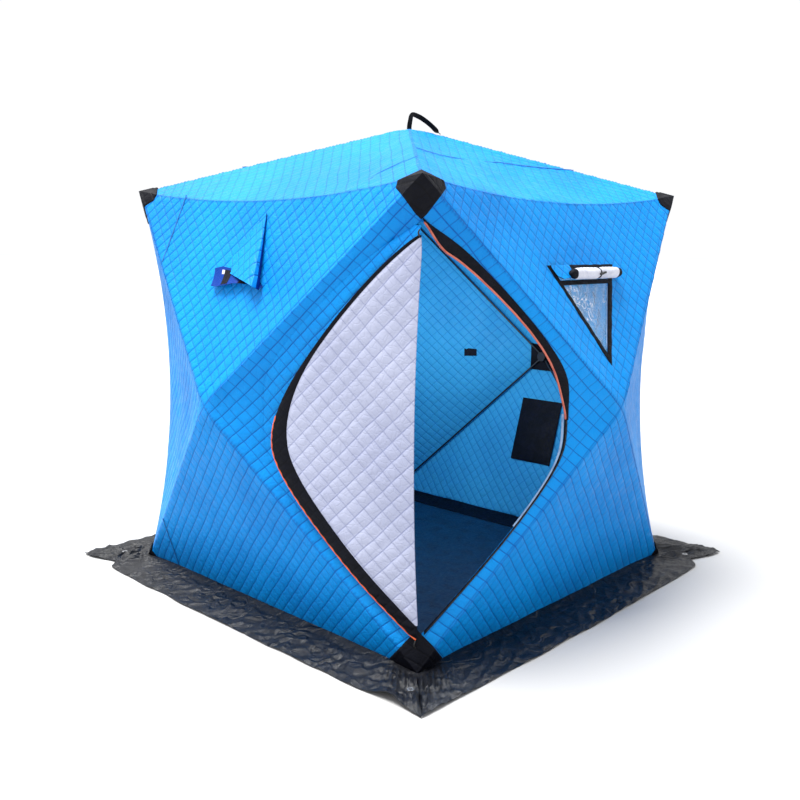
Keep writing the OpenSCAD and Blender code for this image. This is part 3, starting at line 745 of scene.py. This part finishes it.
def make_door_trims():
    """The storm strip and its piping, the zip below it and the pulls."""
    def strip_edge(way):
        return 0.004 - 0.058 * smooth(way, 0.0, 0.13) * (1 - 0.88 * smooth(way, 0.5, 1.06))

    strip = lens_strip("storm_strip_cloth", (0.008, 1.08), 0.009, strip_edge, 0.0008, 0.003, TRIM)
    place(strip, "black_trim", "storm_strip")
    way = np.linspace(0.014, 1.07, 130)
    path = deep(lens_place(way, strip_edge(way) - 0.002), -0.003)
    place(tube("storm_strip_piping_cord", path, 0.0042, SALMON), "orange_piping", "storm_strip_piping")
    zip_cloth = lens_strip("door_zip_tape", (1.0, 1.965), 0.007, -0.008, 0.0004, 0.0012, TRIM)
    place(zip_cloth, "black_trim", "door_zip")
    hem = lens_strip("door_hem_tape", (1.0, 1.62), -0.009, -0.019, -0.002, 0.0014, HEM)
    place(hem, "white_lining")
    # the teeth are one thin cord down the middle of the tape
    way = np.linspace(1.02, 1.955, 160)
    place(tube("door_zip_teeth", deep(lens_place(way, 0.0), -0.003), 0.0022, MOULDED, 8), "black_plastic")
    upper, lower = LEAF_MID + LEAF_RISE + 0.016, LEAF_MID - LEAF_DROP - 0.002
    for name, z, drop, body in (("upper", upper, 0.024, "leaf"), ("lower", lower, 0.03, "shelter")):
        t = np.linspace(0, 1, 14)
        w = 0.004 + 0.003 * np.sin(t * math.pi)
        path = leaf_place(w, z - drop * t, 0.003 + 0.005 * np.sin(t * math.pi))
        pull = tube(f"zip_pull_{name}", path, 0.0028, MOULDED)
        place(pull, "black_plastic", "zip_pulls" if name == "upper" else None, body=body)


# ---- windows and vents
def outline_points(corners, per_side, grow):
    """Points round a convex outline moved out by grow, with the first one repeated at the end."""
    count = len(corners)
    c = np.array(corners)
    sides = np.roll(c, -1, axis=0) - c
    sides /= np.linalg.norm(sides, axis=1, keepdims=True)
    out = np.stack([sides[:, 1], -sides[:, 0]], -1)
    moved = []
    for k in range(count):
        n0, n1 = out[k - 1], out[k]
        moved.append(c[k] + grow * (n0 + n1) / (1 + n0 @ n1))
    moved = np.array(moved)
    t = np.linspace(0, 1, per_side, endpoint=False)[:, None]
    rows = [lerp(moved[k], moved[(k + 1) % count], t) for k in range(count)]
    return np.concatenate([*rows, moved[:1]])


def make_window(side, turn):
    rows = np.stack([outline_points(WINDOW, 40, g) for g in np.linspace(-0.004, 0.021, 7)], axis=1)
    grid = head_place(rows[..., 0], rows[..., 1])
    crown = dome(row(0, 1, 7)) * 0.003
    ripple = 0.0008 * np.sin(np.arange(len(rows)) * 0.9)[:, None]
    outer, inner = deep(grid, -(0.002 + crown + ripple)), deep(grid, 0.001)
    border = sewn(f"{side}_window_border", outer, inner, TRIM, wrap=True)
    place(border, "black_trim", f"{side}_window_frame", turn=turn)
    # the clear pane sags and creases between its sides
    (tip_x, tip_z), (right_x, head_z), _ = WINDOW
    z = column(tip_z + 0.004, head_z - 0.001, 60)
    half = (right_x - tip_x) * (z - tip_z) / (head_z - tip_z)
    x = half * row(-1, 1, 60)
    z = z + 0 * x
    sag = 0.003 * waves(x, z, 0.13, 5) + 0.0016 * np.sin((x - z) * 95)
    sag = sag * smooth(half - np.abs(x), 0, 0.03) * smooth(head_z - z, 0, 0.02)
    pane_grid = head_place(x, z)
    pane = sewn(f"{side}_window_sheet", deep(pane_grid, 0.0025 - sag), deep(pane_grid, 0.0034 - sag), CLEAR)
    place(pane, "clear_pane", f"{side}_window_pane", turn=turn)
    # the flap's end that isn't rolled up, beside the roll
    far_x, near_x = -0.222, -0.095
    x = column(far_x, near_x, 36)
    low_z = np.interp(x, (far_x, -0.2, -0.17, near_x), (1.446, 1.414, 1.399, 1.402))
    z = lerp(1.457, low_z, row(0.02, 1, 20))
    x = x + 0 * z
    lift = 0.006 + 0.016 * smooth(x, far_x, -0.126) * row(0, 1, 20) ** 0.7
    quilt = stack(*leaf_quilt(x, z), 0)
    wedge = on_head(f"{side}_window_flap_end", x, z, lift, 0.003, (BLUE, WHITE, TRIM), quilt)
    place(wedge, "blue_quilt", turn=turn)
    x, z = np.meshgrid(np.linspace(-0.178, 0.178, 60), np.linspace(1.38, 1.398, 4), indexing="ij")
    tape = on_head(f"{side}_window_head_tape", x, z, 0.0035, 0.002, TRIM)
    place(tape, "black_trim", turn=turn)
    z = np.linspace(head_z - 0.065, tip_z + 0.03, 50)
    x = tip_x + (right_x - tip_x) * (z - tip_z) / (head_z - tip_z) - 0.013
    edge = tube(f"{side}_window_pale_edge", deep(head_place(x, z), -0.0012), 0.0016, HEM, 8)
    place(edge, "white_lining", turn=turn)
    make_roll(side, turn)


def make_roll(side, turn):
    """The window's flap, rolled up along its head and tied with a toggle."""
    low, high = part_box("front_window_flap")
    radius = (high.z - low.z) / 2
    middle_y, middle_z = (low.y + high.y) / 2, (low.z + high.z) / 2 - 0.003
    tie = 0.065
    start = low.x - 0.036
    x = np.linspace(start, high.x, 90)
    share = (x - start) / (high.x - start)
    end = np.sqrt(np.clip(1 - np.abs(2 * share - 1) ** 9, 0, 1))
    size = 1.1 * radius * (0.93 + 0.07 * end) * end - 0.005 * bell(x - tie, 0.012)
    size = np.maximum(size, 0.0015)
    angle = np.linspace(0, math.tau, 41)
    spiral = 1 + 0.05 * np.cos(angle)[None, :] ** 9 + 0.025 * np.sin(3 * angle + 14 * share[:, None])
    spiral = spiral + 0.02 * np.sin(90 * share[:, None] + 2 * angle)
    r = size[:, None] * spiral * 0.96
    grid = stack(x[:, None] + 0 * r, middle_y + r * np.cos(angle), middle_z + r * np.sin(angle))
    n, m = grid.shape[:2]
    index = np.arange(n * m).reshape(n, m)
    index[:, -1] = index[:, 0]
    quads = np.stack([index[:-1, :-1], index[1:, :-1], index[1:, 1:], index[:-1, 1:]], -1)
    black = (x[:-1] < start + 0.03) | (x[:-1] > high.x - 0.052)
    faces = [quads[~black].reshape(-1, 4), quads[black].reshape(-1, 4), index[:1, :-1], index[-1:, :-1][:, ::-1]]
    roll = mesh_object(f"{side}_window_roll", grid.reshape(-1, 3), faces, (0, 1, 1, 1), (ROLL_WHITE, TRIM))
    recalc(roll)
    place(roll, "white_lining", f"{side}_window_flap", turn=turn)
    # a cord ties the roll, and its toggle lies on the front
    t = np.linspace(0, math.tau, 40)
    ring = stack(tie, middle_y + (radius - 0.002) * np.cos(t), middle_z + (radius - 0.002) * np.sin(t))
    place(tube(f"{side}_roll_tie", ring, 0.0022, WEBBING, 8), "black_webbing", turn=turn)
    x = tie + np.linspace(-0.02, 0.024, 24)
    bar = stack(x, middle_y - radius - 0.0035, middle_z + 0.003 * np.sin(90 * x))
    toggle = tube(f"{side}_roll_toggle", bar, 0.0045, MOULDED, 12)
    place(toggle, "black_plastic", "window_toggles" if side == "front" else None, turn=turn)


def on_head(name, x, z, lift, thick, mats, quilt=None):
    """A piece of cloth over the head panel, on a grid of x, z and height off the wall."""
    grid = head_place(x, z)
    return sewn(name, deep(grid, -(lift + thick)), deep(grid, -lift), mats, quilt=quilt)


def make_vent(side, turn):
    """A small vent under a hood that stands off the wall and rounds over at its near side."""
    top, left, right = np.array([0.037, 1.652]), np.array([-0.13, 1.424]), np.array([0.14, 1.353])
    share = column(0, 1, 90)
    down = row(0.01, 1, 64)
    across = np.interp(share, np.linspace(0, 1, 9), (0, 0.18, 0.37, 0.56, 0.75, 0.92, 1.02, 1.05, 1.02))
    rise = np.interp(share, np.linspace(0, 1, 9), (0, 0.1, 0.32, 0.6, 0.84, 1.0, 0.92, 0.55, 0.08))
    low_x, low_z = lerp(left[0], right[0], across), lerp(left[1], right[1], across)
    x, z = lerp(top[0], low_x, down), lerp(top[1], low_z, down)
    lift = 0.002 + 0.05 * rise * down**1.15 + 0.0012 * waves(x, z, 0.06, 41) * down
    p, q = leaf_quilt(x + 0.03, z - HUB[2] + 0.3 * x)
    flap = on_head(f"{side}_vent_hood", x, z, lift + 0.003, 0.003, (BLUE, FLAP_UNDER, TRIM), stack(q, p, 0))
    place(flap, "blue_quilt", f"{side}_vent_flap", turn=turn)
    # below the hood its lining turns out, with a square of hook tape and a black tape across it
    share = column(0, 1, 44)
    knots = (0, 0.18, 0.5, 0.8, 1)
    edges = [
        np.interp(share, knots, places)
        for places in (
            (-0.185, -0.13, 0.0, 0.1, 0.15), (-0.15, -0.1, 0.0, 0.07, 0.155),
            (1.43, 1.436, 1.42, 1.4, 1.372), (1.352, 1.35, 1.367, 1.369, 1.356),
        )
    ]
    x, z = lerp(edges[0], edges[1], down), lerp(edges[2], edges[3], down)
    lift = 0.006 + 0.018 * down**2 + 0.006 * np.sin(share * 5)
    mats = (FLAP_UNDER, FLAP_UNDER, TRIM)
    lining = on_head(f"{side}_vent_lining", x, z, lift, 0.0018, mats, stack(0 * x, 0, 0))
    place(lining, "blue_quilt", turn=turn)
    for name, mat, rows, cols in (
        ("tape", TRIM, slice(10, 16), slice(8, 60)),
        ("edging", ROLL_WHITE, slice(8, 11), slice(10, 24)),
        ("hook_square", TRIM, slice(24, 33), slice(26, 62)),
    ):
        spot = (rows, cols)
        patch = on_head(f"{side}_vent_{name}", x[spot], z[spot], lift[spot] + 0.0019, 0.001, mat)
        place(patch, "black_trim", turn=turn)


# ---- skirt and floor
def make_skirt(side, turn):
    """One side of the snow skirt: black cloth that spreads over the ground, gathered at its corners."""
    count, depth = 230, 27
    s = column(-1, 1, count)
    u = row(0, 1, depth)
    foot = BASE + 0.002
    tuck = 0.85 if side == "front" else -0.85
    drawn_in = 0.05 * bell(s - tuck, 0.06) * (side in ("front", "left"))
    width = SKIRT_W - 0.012 + 0.02 * (1 - s**2) + 0.006 * waves(s, 0 * s, 0.3, 50 + turn) - drawn_in
    reach = foot + width * u
    x = s * reach
    y = -reach
    corner = smooth(np.abs(s), 0.72, 1.0)
    calm = smooth(1 - np.abs(s), 0.0, 0.012)
    folds = 0.5 + 0.5 * np.sin(s * 95 + 3 * waves(s, u, 0.4, 60 + turn) + 5 * u)
    pleats = 0.5 + 0.5 * np.sin(s * 210 + 4 * u)
    crumple = 1 - np.abs(waves(x, y * 1.2, 0.24, 70 + turn, 8))
    small = 1 - np.abs(waves(x, y, 0.13, 76 + turn, 8))
    z = 0.0016 + (0.005 * np.clip(crumple, 0, 1) ** 3 + 0.0065 * np.clip(small, 0, 1) ** 3) * smooth(u, 0.05, 0.4)
    z = z + 0.003 * folds * smooth(u, 0.1, 0.5) * (1 - 0.5 * u) + 0.009 * (1 - smooth(u, 0, 0.2)) * (1 - corner)
    z = z + 0.013 * pleats * corner * calm * smooth(u, 0.06, 0.3) * (1 - 0.7 * smooth(u, 0.4, 1.0))
    z = z + 0.004 * corner * calm * u
    if side == "left":
        # the edge stands up a little near the door
        z = z + 0.026 * bell(s - 0.86, 0.05) * smooth(u, 0.62, 1.0)
    hem = 0.0016 * (1 - smooth(np.abs(u - 0.93), 0.0, 0.03))
    near, far = EYELET
    eyelet = smooth(np.minimum(np.hypot(x - near, y + far), np.hypot(x + far, y + near)), 0.016, 0.055)
    top = stack(x, y, 0.0016 + (z - 0.0016 + hem) * eyelet)
    under = top - np.array([0, 0, 0.0013])
    skirt = sewn(f"{side}_skirt_cloth", top, under, SKIRT)
    place(skirt, "skirt_cloth", f"{side}_skirt", turn=turn)


def make_floor():
    """The floor sheet with its sewn seams, and the darker border that runs up to the walls."""
    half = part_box("floor_sheet")[1].x
    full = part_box("floor_border")[1].x
    for name, node, low, high, mat, slot in (
        ("floor_sheet_cloth", "floor_sheet", 0.0, half, FLOOR, "floor_cloth"),
        ("floor_border_cloth", "floor_border", half - 0.004, full, BORDER, "border_cloth"),
    ):
        line = np.linspace(-high, high, 90)
        x, y = np.meshgrid(line, line, indexing="ij")
        middle = (line[:-1] + line[1:]) / 2
        far = np.maximum(np.abs(middle)[:, None], np.abs(middle)[None, :])
        keep = far > low if low else None
        z = 0.0035 + 0.0025 * waves(x, y, 0.25, 80) + 0.001 * (low > 0)
        for seam_y in (-0.125, -0.49, 0.24, 0.6):
            z = z + (0 if low else 0.0018 * bell(y - seam_y, 0.008))
        top = stack(x, y, np.maximum(z, 0.0014))
        floor = shell(name, top, top - np.array([0, 0, 0.0012]), mat, keep)
        place(floor, slot, node)


# ---- patches and straps
def fan_grid(tip, ring, count):
    """Grids of points over the triangles between a tip and a ring of points."""
    found = []
    for p, q in zip(ring[:-1], ring[1:]):
        u = np.linspace(0.001, 1, count)[:, None, None]
        v = np.linspace(0, 1, count)[None, :, None]
        found.append(tip + u * (lerp(np.array(p), np.array(q), v) - tip))
    return np.concatenate([found[0], *[g[:, 1:] for g in found[1:]]], axis=1)


def along(p, q, length):
    return p + (q - p) / np.linalg.norm(q - p) * length


def swapped(p):
    return np.array([p[1], p[0], p[2]])


def make_patches():
    """Black quilted patches that wrap the four upper and the four lower corners."""
    top = corner_edge(1.0)
    eave, ridge = eave_edge(0.07), along(top, HUB, 0.1)
    half_ring = [eave, lerp(eave_edge(0.052), HUB, 0.034), ridge, lerp(corner_edge(0.936), HUB, 0.022)]
    roof_end = along(top, PEAK, 0.085)
    ring = [roof_end, *half_ring, corner_edge(0.917), *[swapped(p) for p in half_ring[::-1]], roof_end]
    for k, turn in enumerate(QUARTERS):
        patch_shell(f"top_corner_patch_{k + 1}", top, ring, turn, "top_corner_patches" if k == 0 else None)
    low = np.array([-BASE - 0.004, -BASE - 0.004, 0.006])
    foot, head = foot_place(-BASE + 0.135, 0.012), corner_edge(0.148 / EAVE_H)
    ridge = along(low, HUB, 0.104)
    ring = [swapped(foot), swapped(ridge), head, ridge, foot]
    for k, turn in enumerate(QUARTERS):
        # only the doorway's patch is a large one
        reach = 1.0 if k == 0 else 0.4
        part = [lerp(low, p, reach) for p in ring]
        node = None if k else "bottom_corner_patches"
        patch_shell(f"bottom_corner_patch_{k + 1}", low, part, turn, node)


def patch_shell(name, tip, ring, turn, node):
    grid = fan_grid(tip, ring, 16)
    u = column(0.001, 1, 16)
    away = grid - CORE
    away = away / np.linalg.norm(away, axis=-1, keepdims=True)
    swell = 0.0055 + 0.004 * smooth(1 - u, 0.0, 0.25) + 0.0006 * np.cos(u * 40)
    rim = 0.0016 * bell(u - 0.86, 0.03)
    outer = grid + away * (swell - rim)[..., None]
    quilt = stack(*leaf_quilt(grid[..., 0], grid[..., 2]), 0)
    patch = sewn(name, outer, grid + away * 0.0006, (BLACK_QUILT, BLACK_QUILT, TRIM), quilt=quilt)
    place(patch, "black_patch", node, turn=turn)


def ribbon(name, path, wide, width, thick, mat):
    """A flat strap along a path. wide is the direction of its width."""
    path = np.asarray(path, float)
    wide = np.asarray(wide, float)
    way = np.gradient(path, axis=0)
    up = np.cross(way, wide)
    up /= np.linalg.norm(up, axis=1, keepdims=True)
    share = np.linspace(-0.5, 0.5, 7)[None, :, None]
    grid = path[:, None] + (wide if wide.ndim == 1 else wide[:, None]) * width * share
    edge = 1 - 0.35 * np.abs(2 * share) ** 6
    rise = up[:, None] * thick / 2 * edge
    return sewn(name, grid + rise, grid - rise, mat)


def make_straps():
    """The pull loops over the roof hub and the two far wall hubs."""
    start = np.array([0.0, 0.0, PEAK[2] - 0.001])
    reach = np.array([1, -1, 0]) / math.sqrt(2)
    t = np.linspace(0, 1, 48)
    fall = (PEAK[2] - EAVE_H) / (math.sqrt(2) * EAVE)
    run = STRAP_REACH * np.interp(t, (0, 0.28, 0.42, 1), (0, 0.06, 0.16, 1))
    rise = np.interp(t, (0, 0.28, 0.36, 0.56, 0.76, 0.92, 1), (0, 0.054, 0.061, 0.054, 0.034, 0.009, 0))
    run, rise = (np.convolve(np.pad(g, 3, mode="edge"), np.ones(7) / 7, mode="valid") for g in (run, rise))
    rise[0], run[0] = -0.012, 0
    path = start + run[:, None] * reach + stack(0, 0, rise - fall * run + 0.003)
    # the loop stands up broadside, and twists until it lies flat at its far end
    flat, twist = np.array([1, 1, 0]) / math.sqrt(2), (1 - smooth(t, 0.8, 1.0))[:, None]
    on_edge = np.cross(np.gradient(path, axis=0), flat)
    on_edge /= np.linalg.norm(on_edge, axis=1, keepdims=True)
    wide = flat * (1 - twist) + on_edge * twist + flat * 0.5 * np.sin(t * math.pi * 2)[:, None]
    wide /= np.linalg.norm(wide, axis=1, keepdims=True)
    place(ribbon("roof_strap_webbing", path, wide, 0.022, 0.0024, WEBBING), "black_webbing", "roof_strap")
    for side in ("right", "back"):
        t = np.linspace(0, 1, 40)
        out = 0.0045 + 0.010 * np.sin(t * math.pi)
        path = stack(0.004 * np.sin(5 * t), HUB[1] + 0.001 - out, HUB[2] - 0.001 - 0.13 * np.sin(t * math.pi) ** 0.7)
        path[:, 1] -= 0.004 * (t > 0.5) * np.sin((t - 0.5) * math.tau)
        strap = ribbon(f"{side}_hub_webbing", path, (1, 0, 0), 0.025, 0.0022, WEBBING)
        place(strap, "black_webbing", "hub_straps" if side == "right" else None, turn=TURNS[side])


def make_seams():
    """Sewn seams that cross the roof and the left and right walls, and the patches inside the wall hubs."""
    z = column(1.452, 1.742, 60)
    wide = row(-SEAM_HALF, SEAM_HALF, 3)
    for side in ("left", "right"):
        turn = TURNS[side]
        x = -0.55 + wide + 0 * z
        seam = on_head(f"{side}_head_seam", x, z, 0.0018, 0.0012, SEAM)
        place(seam, "blue_quilt", turn=turn)
        low = column(0.012, 0.262, 50)
        grid = foot_place(-0.64 + wide + 0 * low, low)
        seam = sewn(f"{side}_foot_seam", deep(grid, -0.003), deep(grid, -0.0018), SEAM)
        place(seam, "blue_quilt", turn=turn)
    for k, turn in enumerate(QUARTERS):
        ways = ((-0.51, -0.1, 0.18, 0.62), (-0.52, -0.492, -0.487, -0.62))
        if turn == 270:
            ways = ((0.7, 0.62, 0.565, 0.6), (-0.7, -0.735, -0.815, -0.97))
        a, b = (np.interp(np.linspace(0, 1, 80), (0, 0.4, 0.65, 1), w)[:, None] for w in ways)
        grid = roof_place(a + wide, b) if turn == 270 else roof_place(a, b + wide)
        seam = sewn(f"roof_seam_{k + 1}", grid + np.array([0, 0, 0.0042]), grid + np.array([0, 0, 0.003]), SEAM)
        place(seam, "blue_quilt", turn=turn)
        r = column(0.024, 0.088, 12)
        way = row(0, math.tau, 81)
        square = r / np.maximum(np.abs(np.cos(way)), np.abs(np.sin(way)))
        grid = wall_place(square * np.cos(way), square * np.sin(way))
        patch = sewn(f"hub_patch_{k + 1}", deep(grid, 0.011), deep(grid, 0.0125), TRIM)
        place(patch, "black_patch", turn=turn)


def make_fittings():
    """The pocket and tag inside the right wall, and the finishes of the pieces that keep their own shape."""
    x = column(0, 1, 30)
    z = row(0, 1, 36)
    across, height = -0.185 + 0.27 * x, 0.305 + 0.35 * z
    base = lerp(np.array([0, -BASE, 0]), HUB, (height / HUB[2])[..., None]) + stack(across, 0 * height, 0)
    bag = 0.012 * np.sin(x * math.pi) ** 0.5 * np.sin(np.clip(z * 1.25, 0, 1) * math.pi) ** 0.6
    hem = 0.002 * (1 - smooth(np.abs(z - 0.95), 0.0, 0.03))
    inner = deep(base, 0.0125)
    outer = deep(base, 0.0145 + np.maximum(bag, 0) + hem + 0.001 * waves(across, height, 0.08, 91))
    pocket = sewn("wall_pocket_cloth", outer, inner, TRIM)
    place(pocket, "black_trim", "wall_pocket", turn=TURNS["right"])
    for names, mat in (
        (("front_rods", "left_rods", "right_rods", "back_rods", "roof_rods"), POLE),
        (("hubs", "corner_sockets"), MOULDED),
        (("skirt_eyelets",), METAL),
        (("wall_tag",), TRIM),
        (("left_vent_pane", "right_vent_pane"), CLEAR),
    ):
        for name in names:
            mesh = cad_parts[name].data
            mesh.materials.clear()
            mesh.materials.append(mat)


make_walls()
make_leaf()
make_fixed_half()
make_door_trims()
for side in ("front", "back"):
    make_window(side, TURNS[side])
for side in ("left", "right"):
    make_vent(side, TURNS[side])
for side in ("front", "left", "right", "back"):
    make_skirt(side, TURNS[side])
make_floor()
make_patches()
make_straps()
make_seams()
make_fittings()


# ---- studio
def make_studio():
    """A pale ground, an even sky, a soft sun from behind the roof and a lamp that lights the inside."""
    ground = bpy.data.meshes.new("studio_floor")
    ground.from_pydata([(-90, -90, 0), (90, -90, 0), (90, 90, 0), (-90, 90, 0)], [], [(0, 1, 2, 3)])
    pale = Graph("studio_pale")
    pale.set("Base Color", (0.45, 0.45, 0.455, 1))
    pale.set("Roughness", 0.9)
    ground.materials.append(pale.material)
    floor = bpy.data.objects.new("studio_floor", ground)
    bpy.context.scene.collection.objects.link(floor)
    world = bpy.data.worlds.new("studio_world")
    bpy.context.scene.world = world
    world.use_nodes = True
    world.node_tree.nodes["Background"].inputs[0].default_value = (0.97, 0.98, 1.0, 1)
    world.node_tree.nodes["Background"].inputs[1].default_value = 1.04
    key = bpy.data.lights.new("key", "SUN")
    key.angle, key.energy, key.color = 0.6, 6.6, (1.0, 0.99, 0.96)
    inside = bpy.data.lights.new("inside", "POINT")
    inside.shadow_soft_size, inside.energy, inside.color = 0.3, 36, (0.92, 0.97, 1.0)
    sun_spot, lamp_spot = (-1.3, 1.9, 7.2 + HUB[2]), (0.1, 0.1, 1.15)
    for light, spot in ((key, sun_spot), (inside, lamp_spot)):
        obj = bpy.data.objects.new(light.name, light)
        obj.location = spot
        obj.rotation_mode = "QUATERNION"
        aim = Vector((0, 0, HUB[2])) - Vector(spot)
        obj.rotation_quaternion = aim.to_track_quat("-Z", "Y")
        obj.visible_camera = False
        bpy.context.scene.collection.objects.link(obj)


def make_camera():
    """The camera at the corner with the door. Its angles are in radians and its lens in millimetres."""
    yaw, pitch, roll = 0.7572, 0.172, 0.0073
    spot, lens = (-3.1703, -2.9504, 1.537), 40.45
    ahead = Vector((math.cos(yaw) * math.cos(pitch), math.sin(yaw) * math.cos(pitch), -math.sin(pitch)))
    right = Vector((math.sin(yaw), -math.cos(yaw), 0))
    up = right.cross(ahead)
    rolled_right = right * math.cos(roll) + up * math.sin(roll)
    rolled_up = up * math.cos(roll) - right * math.sin(roll)
    camera = bpy.data.objects.new("camera", bpy.data.cameras.new("camera"))
    camera.data.sensor_width = 36
    camera.data.lens = lens
    turn = Matrix((rolled_right, rolled_up, -ahead)).transposed().to_4x4()
    camera.matrix_world = Matrix.Translation(spot) @ turn
    bpy.context.scene.collection.objects.link(camera)
    bpy.context.scene.camera = camera


make_studio()
make_camera()
bpy.context.scene.view_settings.view_transform = "Standard"
